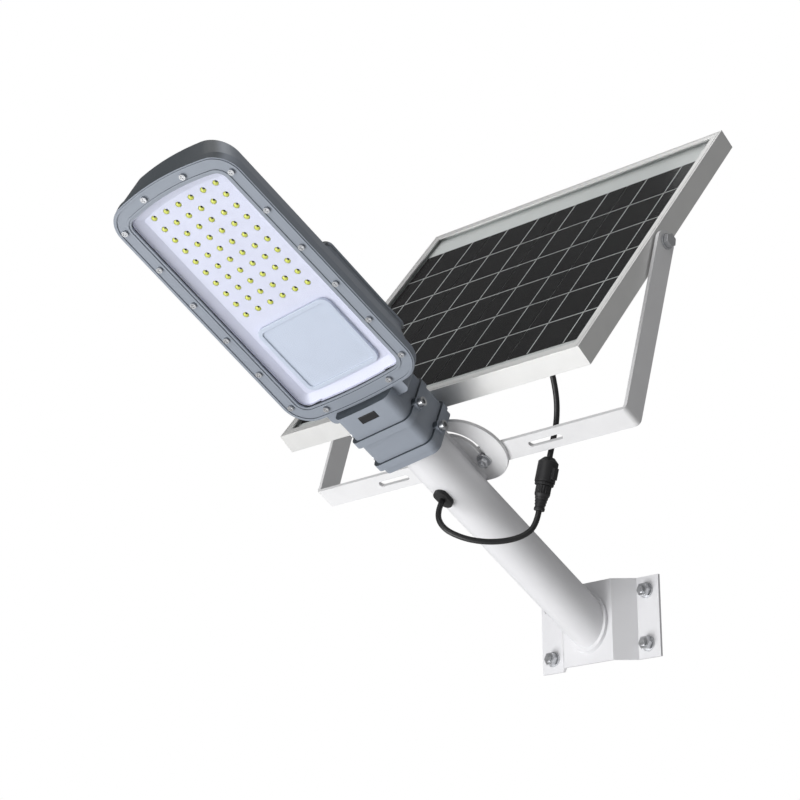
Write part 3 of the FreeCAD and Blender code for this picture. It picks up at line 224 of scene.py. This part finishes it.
class Nodes:
    """A Geometry Nodes tree with named inputs, for pieces that repeat."""

    def __init__(self, name, slot, inputs):
        self.tree = bpy.data.node_groups.new(name, "GeometryNodeTree")
        self.slot = slot
        self.ids = {}
        for label, kind in inputs:
            made = self.tree.interface.new_socket(label, in_out="INPUT", socket_type="NodeSocket" + kind)
            self.ids[label] = made.identifier
        self.tree.interface.new_socket("Geometry", in_out="OUTPUT", socket_type="NodeSocketGeometry")
        self.given = self.tree.nodes.new("NodeGroupInput").outputs

    def add(self, kind, sockets, settings=None):
        """One node, made as a finish's is. Gives its first output."""
        made = self.tree.nodes.new(kind)
        for setting, value in (settings or {}).items():
            setattr(made, setting, value)
        for socket, value in sockets.items():
            if isinstance(value, bpy.types.NodeSocket):
                self.tree.links.new(value, made.inputs[socket])
            else:
                made.inputs[socket].default_value = value
        return made.outputs[0]

    def span(self, count, pitch):
        """The distance from the first to the last of a row."""
        gaps = self.add("ShaderNodeMath", {0: self.given[count], 1: 1.0}, {"operation": "SUBTRACT"})
        return self.add("ShaderNodeMath", {0: gaps, 1: self.given[pitch]}, {"operation": "MULTIPLY"})

    def end(self, geometry):
        real = self.add("GeometryNodeRealizeInstances", {0: geometry})
        finished = self.add("GeometryNodeSetMaterial", {"Geometry": real, "Material": finishes[self.slot]})
        self.tree.links.new(finished, self.tree.nodes.new("NodeGroupOutput").inputs[0])

    def build(self, name, values, body, place):
        """Runs the tree with these values and leaves a plain mesh that moves with a body."""
        holder = bpy.data.objects.new(name + "_nodes", bpy.data.meshes.new(name + "_nodes"))
        bpy.context.scene.collection.objects.link(holder)
        made = holder.modifiers.new("nodes", "NODES")
        made.node_group = self.tree
        for label, value in values.items():
            made[self.ids[label]] = value
        bpy.context.view_layer.update()
        mesh = bpy.data.meshes.new_from_object(holder.evaluated_get(bpy.context.evaluated_depsgraph_get()))
        bpy.data.objects.remove(holder)
        mesh.transform(place)
        mesh.materials.clear()
        mesh.materials.append(finishes[self.slot])
        mesh.name = name
        piece = bpy.data.objects.new(name, mesh)
        bpy.context.scene.collection.objects.link(piece)
        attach(piece, body)
        return piece


def grid_tree(name, slot, item_inputs, make_item):
    """Copies of one item on a flat grid, with its counts, pitches and middle as inputs."""
    grid = Nodes(name, slot, [("Columns", "Int"), ("Rows", "Int"), ("Pitch X", "Float"), ("Pitch Y", "Float"),
                              ("Middle", "Vector"), *item_inputs])
    places = grid.add("GeometryNodeMeshGrid", {
        "Size X": grid.span("Columns", "Pitch X"), "Size Y": grid.span("Rows", "Pitch Y"),
        "Vertices X": grid.given["Columns"], "Vertices Y": grid.given["Rows"]})
    moved = grid.add("GeometryNodeTransform", {"Geometry": places, "Translation": grid.given["Middle"]})
    grid.end(grid.add("GeometryNodeInstanceOnPoints", {"Points": moved, "Instance": make_item(grid)}))
    return grid


def thread_item(tree):
    radius = tree.given["Radius"]
    path = tree.add("GeometryNodeCurveSpiral", {
        "Resolution": 28, "Rotations": tree.given["Turns"], "Start Radius": radius, "End Radius": radius,
        "Height": tree.given["Length"]})
    ridge = tree.add("GeometryNodeCurvePrimitiveCircle", {"Resolution": 6, "Radius": tree.given["Ridge"]})
    return tree.add("GeometryNodeCurveToMesh", {"Curve": path, "Profile Curve": ridge, "Fill Caps": True})


dress("zinc", zinc_plate, tone(0.66, 0.67, 0.69), 0.30)
eased("anchor_nuts", 0.0004)
eased("anchor_washers", 0.0003)
STUD_END = 0.0138
STUDS_WIDE, STUDS_HIGH = 0.134, 0.057
THREAD_LENGTH, THREAD_PITCH = 0.0048, 0.00125
threads = grid_tree("thread_grid", "zinc", [("Turns", "Float"), ("Radius", "Float"), ("Length", "Float"),
                                            ("Ridge", "Float")], thread_item)
threads.build("stud_threads", {
    "Columns": 2, "Rows": 2, "Pitch X": STUDS_WIDE, "Pitch Y": STUDS_HIGH,
    "Middle": (0, 0, STUD_END - THREAD_LENGTH), "Turns": THREAD_LENGTH / THREAD_PITCH, "Radius": 0.00362,
    "Length": THREAD_LENGTH, "Ridge": 0.0003}, "arm", Matrix.Rotation(math.pi / 2, 4, "X"))

# ------------------------------------------------------------ arc plate, yoke and clamp bolts
# The arc plate is a steel half disc welded on the saddle. The yoke is a flat steel bar bent to a U, clamped
# to the plate by two bolts in its curved slots, which let it swivel. Both are powder coated.
dress("pale_paint", powder_coat, tone(0.80, 0.80, 0.81), 0.40)
eased("arc_plate", 0.0006)
eased("yoke", 0.0006)
eased("clamp_nuts", 0.0004)
eased("clamp_washers", 0.0003)


# ------------------------------------------------------------ panel frame and its pivots
# Four lengths of extruded aluminium, mitred and held by corner keys, with fine drawing lines along them.
# A bolt on each side screws into a threaded insert in the rail and lets the panel tilt in the yoke.
def brushed_metal(name, colour, roughness, stretch):
    """Drawn or extruded metal with fine lines along its length."""
    finish = Finish(name, {"Metallic": 0.75})
    lines = finish.noise(60, 4.0, stretch)
    cloud = finish.noise(35, 3.0)
    finish.vary(Base_Color=finish.mix(cloud, darker(colour, 0.90), colour),
                Roughness=roughness - 0.1 + lines * 0.22)
    finish.bump(lines, 0.10, 0.0001)
    return finish.material


dress("frame_aluminium", brushed_metal, tone(0.86, 0.86, 0.85), 0.42, (1, 30, 30))
for side in ("bottom", "top", "left", "right"):
    eased("frame_rail_" + side, 0.0004)
dress("bright_insert", zinc_plate, tone(0.78, 0.79, 0.80), 0.30)
eased("pivot_bolts", 0.0004)
eased("pivot_washers", 0.0002)


# ------------------------------------------------------------ back sheet and junction box
# The laminate's white plastic back sheet closes the panel from behind. The junction box, moulded in black
# plastic with a lid and a cable gland, is glued on it.
def moulded(name, colour, roughness, grain=1800, depth=0.12, shade=0.8, gloss=0.5):
    """Moulded plastic or rubber with a spark-eroded grain."""
    finish = Finish(name, {"IOR": 1.49, "Specular IOR Level": gloss})
    texture = finish.noise(grain, 3.0)
    cloud = finish.noise(30, 3.0)
    finish.vary(Base_Color=finish.mix(cloud, darker(colour, shade), colour),
                Roughness=roughness - 0.07 + texture * 0.14)
    finish.bump(texture, depth, 0.0002)
    return finish.material


dress("back_sheet_white", moulded, tone(0.78, 0.78, 0.77), 0.5, 600, 0.05, 0.95)
dress("box_black", moulded, tone(0.025, 0.025, 0.027), 0.5)
eased("junction_box", 0.0008)
eased("junction_lid", 0.0006)


# ------------------------------------------------------------ solar cells and glass
# Black silicon cells in four columns and six rows, each crossed by two tinned ribbons, lie under a sheet of
# clear toughened glass. A narrow gap between the cells shows the back sheet.
def clear_sheet(name, tint, roughness, sheen):
    """Thin clear glass or polycarbonate: see-through face on, more of a mirror at a low angle."""
    finish = Finish(name, {"Base Color": tint, "Metallic": 1.0})
    through = finish.node("BsdfTransparent", {}, {"Color": tint})
    edge_on = finish.node("LayerWeight", {}, {"Blend": 0.5}, "Facing")
    finish.vary(Roughness=roughness + finish.noise(9, 3.0) * 0.06)
    skin = finish.node("MixShader", {}, {0: edge_on * edge_on * edge_on * sheen + 0.008, 1: through,
                                         2: Field(finish, finish.shader.outputs[0])})
    finish.feed(finish.tree.nodes["Material Output"].inputs["Surface"], skin)
    return finish.material


def plate_item(tree):
    return tree.add("GeometryNodeMeshCube", {"Size": tree.given["Size"]})


dress("panel_glass", clear_sheet, tone(0.97, 0.98, 0.98), 0.05, 0.05)
dress("cell_black", moulded, tone(0.014, 0.012, 0.013), 0.6, 300, 0.05, 0.6, 0.06)
PANEL_TILT = math.radians(50.7)
panel_place = Matrix.Translation(Vector((0, -0.140669, 0.345162))) @ Matrix.Rotation(PANEL_TILT, 4, "X")
GLASS_LOW = 0.00995
CELLS_LOW, CELLS_HIGH, CELLS_HALF = -0.1682, 0.150, 0.207
CELL_COLUMNS, CELL_ROWS = 4, 6
COLUMN_GAP, ROW_GAP = 0.0012, 0.0026
CELL_THICKNESS, CELL_LEVEL = 0.0003, GLASS_LOW - 0.00055
RIBBON_WIDTH, RIBBON_THICKNESS, RIBBON_LEVEL = 0.0011, 0.0001, GLASS_LOW - 0.00032
RIBBON_SHORTENING = 0.0027
column_pitch = (2 * CELLS_HALF + COLUMN_GAP) / CELL_COLUMNS
row_pitch = (CELLS_HIGH - CELLS_LOW + ROW_GAP) / CELL_ROWS
cells_middle = (CELLS_HIGH + CELLS_LOW) / 2
cell_values = {"Columns": CELL_COLUMNS, "Rows": CELL_ROWS, "Pitch X": column_pitch, "Pitch Y": row_pitch}
wafers = grid_tree("cell_grid", "cell_black", [("Size", "Vector")], plate_item)
cells = wafers.build("solar_cells", {
    **cell_values, "Middle": (0, cells_middle, CELL_LEVEL),
    "Size": (column_pitch - COLUMN_GAP, row_pitch - ROW_GAP, CELL_THICKNESS)}, "panel", panel_place)
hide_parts("cell_sheet")
# The tinned ribbons take the back sheet's matte white: pale like tin, and partly a painted reflection
# standing in for the shine of the metal.
ribbons = grid_tree("busbar_grid", "back_sheet_white", [("Size", "Vector")], plate_item)
for percent in (27, 73):
    aside = (percent / 100 - 0.5) * column_pitch
    ribbons.build("busbars_%d" % percent, {
        **cell_values, "Middle": (aside, cells_middle, RIBBON_LEVEL),
        "Size": (RIBBON_WIDTH, row_pitch - RIBBON_SHORTENING, RIBBON_THICKNESS)}, "panel", panel_place)

# ------------------------------------------------------------ lamp head housing
# The head is an aluminium die casting that ends in a ribbed sleeve, which is clamped on the arm. A cast rim
# and a cover plate close it. They are painted grey; the wall at the tip lies in shade, and that shade is
# painted in as a much darker grey.
ARM_RISE = math.radians(31)
HEAD_OUTWARD = (0.0, -math.cos(ARM_RISE), math.sin(ARM_RISE))


def cast_paint(name, colour, painted_shade_colour):
    """Grey paint over a die casting, with painted shade: much darker where a surface faces the way that the
    head points, as the tip wall lies in shade.
    """
    finish = Finish(name, {"IOR": 1.48})
    grain = finish.noise(900, 4.0)
    cloud = finish.noise(16, 3.0)
    # Painted shade: faces that point the way the head points, such as the tip wall, get a much darker colour
    # in place of the shade they lie in.
    outward = finish.node("VectorMath", {"operation": "DOT_PRODUCT"},
                          {0: finish.node("TexCoord", output="Normal"), 1: HEAD_OUTWARD}, "Value")
    painted_shade_mask = finish.node("MapRange", {"interpolation_type": "SMOOTHSTEP"},
                         {"Value": outward, "From Min": 0.55, "From Max": 0.85})
    paint = finish.mix(cloud, darker(colour, 0.88), colour)
    finish.vary(Base_Color=finish.mix(painted_shade_mask, paint, painted_shade_colour), Roughness=grain * 0.14 + 0.36)
    finish.bump(grain, 0.22, 0.0003)
    return finish.material


# The second colour is the painted shade for the tip wall.
dress("housing_grey", cast_paint, tone(0.27, 0.30, 0.35), tone(0.035, 0.045, 0.055))
eased("housing", 0.0006)
eased("rim_frame", 0.0005)
eased("driver_cover", 0.0008)

# ------------------------------------------------------------ screws and seals
# Stainless screws clamp the sleeve and hold the rim and the cover. Grey rubber gaskets under the rim and
# the cover keep the rain out.
dress("steel_screw", zinc_plate, tone(0.55, 0.56, 0.58), 0.30)
dress("gasket_grey", moulded, tone(0.32, 0.33, 0.34), 0.6)


# ------------------------------------------------------------ battery, boards and heat spreader
# Inside the housing: battery cells in printed plastic wraps in a black moulded tray, a green controller
# board, and an aluminium sheet that takes the heat away from the back of the lamp board.
def plain_tone(name, colour, roughness, grain=500):
    """A smooth part with a faint unevenness."""
    finish = Finish(name, {})
    cloud = finish.noise(grain, 3.0)
    finish.vary(Base_Color=finish.mix(cloud, darker(colour, 0.93), colour), Roughness=roughness + cloud * 0.1)
    finish.bump(cloud, 0.05, 0.0001)
    return finish.material


dress("cell_wrap", plain_tone, tone(0.05, 0.18, 0.42), 0.35)
dress("tray_black", moulded, tone(0.03, 0.03, 0.03), 0.5)
dress("board_green", plain_tone, tone(0.02, 0.14, 0.05), 0.35)
dress("spreader_aluminium", brushed_metal, tone(0.7, 0.71, 0.72), 0.4, (30, 1, 30))


# ------------------------------------------------------------ reflector and clear cover
# The reflector is a white moulded tray round the lamp board, under a clear plastic cover. A narrow wall,
# one with the tray, closes the gap up to the cover all the way round.
def new_piece(name, verts, faces, slot):
    """A mesh piece in its final place, with the finish of a material slot."""
    mesh = bpy.data.meshes.new(name)
    mesh.from_pydata([tuple(v) for v in verts], [], faces)
    shape = bmesh.new()
    shape.from_mesh(mesh)
    bmesh.ops.recalc_face_normals(shape, faces=shape.faces)
    shape.to_mesh(mesh)
    shape.free()
    mesh.materials.append(finishes[slot])
    mesh.shade_smooth()
    mesh.set_sharp_from_angle(angle=math.radians(38))
    piece = bpy.data.objects.new(name, mesh)
    bpy.context.scene.collection.objects.link(piece)
    return piece


dress("clear_cover", clear_sheet, tone(0.98, 0.985, 0.995), 0.06, 0.10)
dress("reflector_white", plain_tone, tone(0.70, 0.71, 0.82), 0.30, 60)
HEAD_ROLL = math.radians(12)
head_place = (Matrix.Translation(Vector((0, -0.0225, 0))) @ Matrix.Rotation(-ARM_RISE, 4, "X")
              @ Matrix.Rotation(-HEAD_ROLL, 4, "Y"))
TRAY_EDGE, WALL_TOP, WALL_THICKNESS = -0.0128, -0.0143, 0.0008
EDGE_BAND = 0.0002
tray_middle = Vector((0, -0.533))
spokes = {}
for vertex in nodes["reflector_tray"].data.vertices:
    place = head_place.inverted() @ vertex.co
    if abs(place.z - TRAY_EDGE) < EDGE_BAND:
        spoke = place.xy - tray_middle
        direction = round(math.degrees(math.atan2(spoke.y, spoke.x)))
        if direction not in spokes or spoke.length > spokes[direction].length:
            spokes[direction] = spoke
loop = [spokes[direction] for direction in sorted(spokes)]
corners = ((0, TRAY_EDGE), (0, WALL_TOP), (WALL_THICKNESS, WALL_TOP), (WALL_THICKNESS, TRAY_EDGE))
wall_verts, wall_faces = [], []
for inward, level in corners:
    for spoke in loop:
        point = tray_middle + spoke * (1 - inward / spoke.length)
        wall_verts.append(head_place @ Vector((point.x, point.y, level)))
for band in range(len(corners)):
    here, there = band * len(loop), (band + 1) % len(corners) * len(loop)
    for i in range(len(loop)):
        following = (i + 1) % len(loop)
        wall_faces.append((here + i, here + following, there + following, there + i))
upstand = new_piece("reflector_upstand", wall_verts, wall_faces, "reflector_white")
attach(upstand, "lamp_head")


# ------------------------------------------------------------ light-emitting diodes
# Sixty diodes in six columns and ten rows are soldered on a white board. Each has a square white base and a
# low dome of yellow phosphor, with a small black dot in one corner that is painted shade on that side of the
# dome.
def dome_item(tree):
    ball = tree.add("GeometryNodeMeshUVSphere", {"Segments": 24, "Rings": 12, "Radius": tree.given["Radius"]})
    return tree.add("GeometryNodeTransform", {"Geometry": ball, "Scale": (1.0, 1.0, DOME_FLATNESS)})


dress("board_white", plain_tone, tone(0.72, 0.72, 0.80), 0.35)
dress("led_phosphor", plain_tone, tone(0.66, 0.69, 0.10), 0.22, 900)
dress("window_black", plain_tone, tone(0.008, 0.008, 0.01), 0.15)
DOME_FLATNESS = 0.62
LED_FACE, LED_MIDDLE = -0.0066, -0.5855
BASE_SIDE, BASE_THICKNESS, BASE_LIFT = 0.0052, 0.0007, 0.0004
DOME_RADIUS, DOME_LIFT = 0.0030, 0.0007
# Size and offsets of the painted shade dot on one side of each dome.
SHADE_DOT_RADIUS, SHADE_DOT_LIFT, SHADE_DOT_ASIDE, SHADE_DOT_BACK = 0.0014, 0.0014, 0.0016, 0.0012
led_values = {"Columns": 6, "Rows": 10, "Pitch X": 0.0165, "Pitch Y": 0.015}
bases = grid_tree("led_base_grid", "board_white", [("Size", "Vector")], plate_item)
led_bases = bases.build("led_bases", {
    **led_values, "Middle": (0, LED_MIDDLE, LED_FACE - BASE_LIFT),
    "Size": (BASE_SIDE, BASE_SIDE, BASE_THICKNESS)}, "lamp_head", head_place)
domes = grid_tree("led_dome_grid", "led_phosphor", [("Radius", "Float")], dome_item)
led_domes = domes.build("led_domes", {
    **led_values, "Middle": (0, LED_MIDDLE, LED_FACE - DOME_LIFT),
    "Radius": DOME_RADIUS}, "lamp_head", head_place)
led_domes.data.shade_smooth()
# Painted shade: a small black dome on each diode, where its side lies in shade.
shade_dots = grid_tree("led_shade_dot_grid", "window_black", [("Radius", "Float")], dome_item)
shade_dots.build("led_shade_dots", {
    **led_values, "Middle": (SHADE_DOT_ASIDE, LED_MIDDLE - SHADE_DOT_BACK, LED_FACE - SHADE_DOT_LIFT),
    "Radius": SHADE_DOT_RADIUS}, "lamp_head", head_place)
for piece in (led_bases, led_domes):
    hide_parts("led_chips")

# ------------------------------------------------------------ recess cover and sensor window
# A white moulded cover screens the battery at the base end of the reflector. The small glossy black window
# near the sleeve is where a motion or remote-control receiver looks out.
dress("recess_white", plain_tone, tone(0.58, 0.63, 0.72), 0.30, 50)
eased("recess_cover", 0.0008)
eased("sensor_window", 0.0004)


# ------------------------------------------------------------ connector
# A two-part waterproof connector of black nylon. The lower half has a strain relief of soft ridges and ribs
# for the fingers, and a ribbed ring screws it to the upper half.
def ringed(name, rings, slot):
    """A closed skin over rings of points, each joined to the next."""
    sides = len(rings[0])
    last = (len(rings) - 1) * sides
    faces = []
    for first in range(0, last, sides):
        for k in range(sides):
            a, b = first + k, first + (k + 1) % sides
            faces.append((a, b, b + sides, a + sides))
    faces += [tuple(range(sides)), tuple(range(last, last + sides))]
    return new_piece(name, [point for ring in rings for point in ring], faces, slot)


def turned(name, place, profile, sides, ribs, rib_depth, rib_span):
    """A closed surface of revolution; between two heights it carries ribs along its length."""
    rings = []
    for radius, height in profile:
        ring = []
        for k in range(sides):
            groove = rib_span[0] <= height <= rib_span[1] and 2 * k * ribs // sides % 2
            reach = radius - rib_depth if groove else radius
            angle = 2 * math.pi * k / sides
            ring.append(place @ Vector((reach * math.cos(angle), reach * math.sin(angle), height)))
        rings.append(ring)
    return ringed(name, rings, "connector_black")


dress("connector_black", moulded, tone(0.012, 0.012, 0.013), 0.50, 2200, 0.2)
CONNECTOR_LENGTH = 0.0554
CONNECTOR_SIDES = 72
connector_foot = Vector((0.0865, -0.192, 0.080))
connector_axis = Vector((0.2, 0.1, 0.975)).normalized()
connector_top = connector_foot + connector_axis * CONNECTOR_LENGTH
connector_turn = connector_axis.to_track_quat("Z", "Y").to_matrix().to_4x4()
connector_place = Matrix.Translation(connector_foot) @ connector_turn
plug_profile = [
    (0.0052, 0), (0.0056, 0.0006), (0.0056, 0.003), (0.0050, 0.0034), (0.0052, 0.0055), (0.0058, 0.006),
    (0.0056, 0.0085), (0.0062, 0.009), (0.0061, 0.0115), (0.0067, 0.0122), (0.0068, 0.0145),
    (0.0076, 0.0155), (0.0080, 0.0172), (0.0080, 0.0176), (0.0080, 0.0246), (0.0078, 0.0256),
    (0.0070, 0.0259), (0.0058, 0.0260)]
ring_profile = [(0.0062, 0.0261), (0.0094, 0.0262), (0.0098, 0.0267), (0.0098, 0.0288), (0.0094, 0.0293),
                (0.0062, 0.0294)]
plug = turned("connector_plug_body", connector_place, plug_profile, CONNECTOR_SIDES, 18, 0.0007,
              (0.0173, 0.0248))
coupling_ring = turned("connector_coupling", connector_place, ring_profile, CONNECTOR_SIDES, 24, 0.0005,
                       (0.0266, 0.0289))
for piece, node in ((plug, "connector_plug"), (coupling_ring, "connector_ring")):
    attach(piece, "yoke")
    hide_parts(node)
socket_piece = eased("connector_socket", 0.0007)


# ------------------------------------------------------------ leads and grommet
# Two round black leads, 6 mm thick, with a smooth rubber jacket. The lamp lead hangs in a loop from the
# rubber grommet under the arm up to the connector, and the panel lead drops from the junction box into it.
def smooth_line(name, route):
    """Points along the smooth line that a route's control points give."""
    curve = bpy.data.curves.new(name + "_line", "CURVE")
    curve.dimensions = "3D"
    curve.resolution_u = 16
    spline = curve.splines.new("NURBS")
    spline.points.add(len(route) - 1)
    for point, place in zip(spline.points, route):
        point.co = (*place, 1.0)
    spline.order_u = 3
    spline.use_endpoint_u = True
    holder = bpy.data.objects.new(name + "_line", curve)
    bpy.context.scene.collection.objects.link(holder)
    bpy.context.view_layer.update()
    line = bpy.data.meshes.new_from_object(holder.evaluated_get(bpy.context.evaluated_depsgraph_get()))
    bpy.data.objects.remove(holder)
    return [v.co.copy() for v in line.vertices]


def tube_along(name, line, radius, slot, sides=20):
    """A round tube that follows a line, closed at both ends."""
    rings = []
    side = (line[1] - line[0]).cross(Vector((0.3, 0.2, 0.9))).normalized()
    angles = [2 * math.pi * k / sides for k in range(sides)]
    for i, place in enumerate(line):
        along = (line[min(i + 1, len(line) - 1)] - line[max(i - 1, 0)]).normalized()
        side = (side - along * side.dot(along)).normalized()
        other = along.cross(side)
        rings.append([place + (side * math.cos(a) + other * math.sin(a)) * radius for a in angles])
    return ringed(name, rings, slot)


dress("black_rubber", moulded, tone(0.012, 0.012, 0.013), 0.55)
eased("lead_grommet", 0.0004)
dress("lead_jacket", moulded, tone(0.010, 0.010, 0.011), 0.42, 900, 0.10)
LEAD_RADIUS = 0.003
grommet_exit = Vector((0, -0.242299, 0.098236))
lamp_route = [grommet_exit, Vector((0, -0.2516, 0.0828)), Vector((0.009, -0.2515, 0.0655)),
              Vector((0.026, -0.2415, 0.0545)), Vector((0.0425, -0.229, 0.0495)),
              Vector((0.059, -0.2145, 0.0495)), Vector((0.074, -0.2025, 0.054)),
              connector_foot - connector_axis * 0.016, connector_foot]
lamp_line = smooth_line("lamp_lead", lamp_route)
lamp_cord = tube_along("lamp_cord", lamp_line, LEAD_RADIUS, "lead_jacket")
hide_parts("lamp_lead")
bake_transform(lamp_cord)
panel_up = Vector((0, math.cos(PANEL_TILT), math.sin(PANEL_TILT)))
gland_tip = Vector((0.118, -0.204975, 0.268570))
panel_route = [gland_tip, gland_tip - panel_up * 0.020, Vector((0.122, -0.213, 0.2305)),
               Vector((0.119, -0.201, 0.209)), Vector((0.112, -0.189, 0.190)),
               Vector((0.104, -0.1815, 0.171)), connector_top + connector_axis * 0.018, connector_top]
panel_line = smooth_line("panel_lead", panel_route)
panel_cord = tube_along("panel_cord", panel_line, LEAD_RADIUS, "lead_jacket")
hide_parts("panel_lead")
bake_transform(panel_cord)

# ------------------------------------------------------------ stage and light
# A pale floor well below the lamp, a white surround and soft light, most of it from below and the left.
# The surround is a wide glowing dome that only the camera sees, so it lights nothing and shows in nothing.
LIT_POINT = Vector((0.0, -0.30, 0.24))
FLOOR_HALF, FLOOR_LEVEL = 9, -1.6
DOME_REACH = 11


def area_lamp(name, place, size, energy):
    """A square area lamp aimed at the middle of the object."""
    light = bpy.data.lights.new(name, "AREA")
    light.size = size
    light.energy = energy
    holder = bpy.data.objects.new(name, light)
    holder.location = place
    holder.rotation_euler = (LIT_POINT - Vector(place)).to_track_quat("-Z", "Y").to_euler()
    bpy.context.scene.collection.objects.link(holder)


def stage_piece(name, mesh, looks):
    """A part of the stage, with a finish of its own."""
    mesh.materials.append(Finish(name + "_white", looks).material)
    piece = bpy.data.objects.new(name, mesh)
    bpy.context.scene.collection.objects.link(piece)
    return piece


area_lamp("key", (-0.7, -1.9, -1.1), 1.6, 46)
area_lamp("front", (0.2, -2.6, 1.1), 2.2, 22)
area_lamp("above", (-0.4, -0.2, 2.6), 2.0, 14)
world = bpy.data.worlds.new("surround")
world.use_nodes = True
world.node_tree.nodes["Background"].inputs["Color"].default_value = tone(1, 1, 1)
world.node_tree.nodes["Background"].inputs["Strength"].default_value = 0.25
bpy.context.scene.world = world
bpy.context.scene.view_settings.view_transform = "Standard"
floor_mesh = bpy.data.meshes.new("floor")
floor_corners = [(x * FLOOR_HALF, y * FLOOR_HALF, FLOOR_LEVEL)
                 for x, y in ((-1, -1), (1, -1), (1, 1), (-1, 1))]
floor_mesh.from_pydata(floor_corners, [], [(0, 1, 2, 3)])
stage_piece("floor", floor_mesh, {"Base Color": tone(0.86, 0.86, 0.86), "Roughness": 0.6,
                                  "Emission Color": tone(1, 1, 1), "Emission Strength": 0.12})
dome_mesh = bpy.data.meshes.new("dome")
dome_shape = bmesh.new()
bmesh.ops.create_icosphere(dome_shape, subdivisions=4, radius=DOME_REACH)
dome_shape.to_mesh(dome_mesh)
dome_shape.free()
dome = stage_piece("dome", dome_mesh, {"Base Color": tone(0, 0, 0), "Emission Color": tone(1, 1, 1),
                                       "Emission Strength": 1.0, "Specular IOR Level": 0.0})
dome.visible_diffuse = False
dome.visible_glossy = False
dome.visible_transmission = False
dome.visible_shadow = False
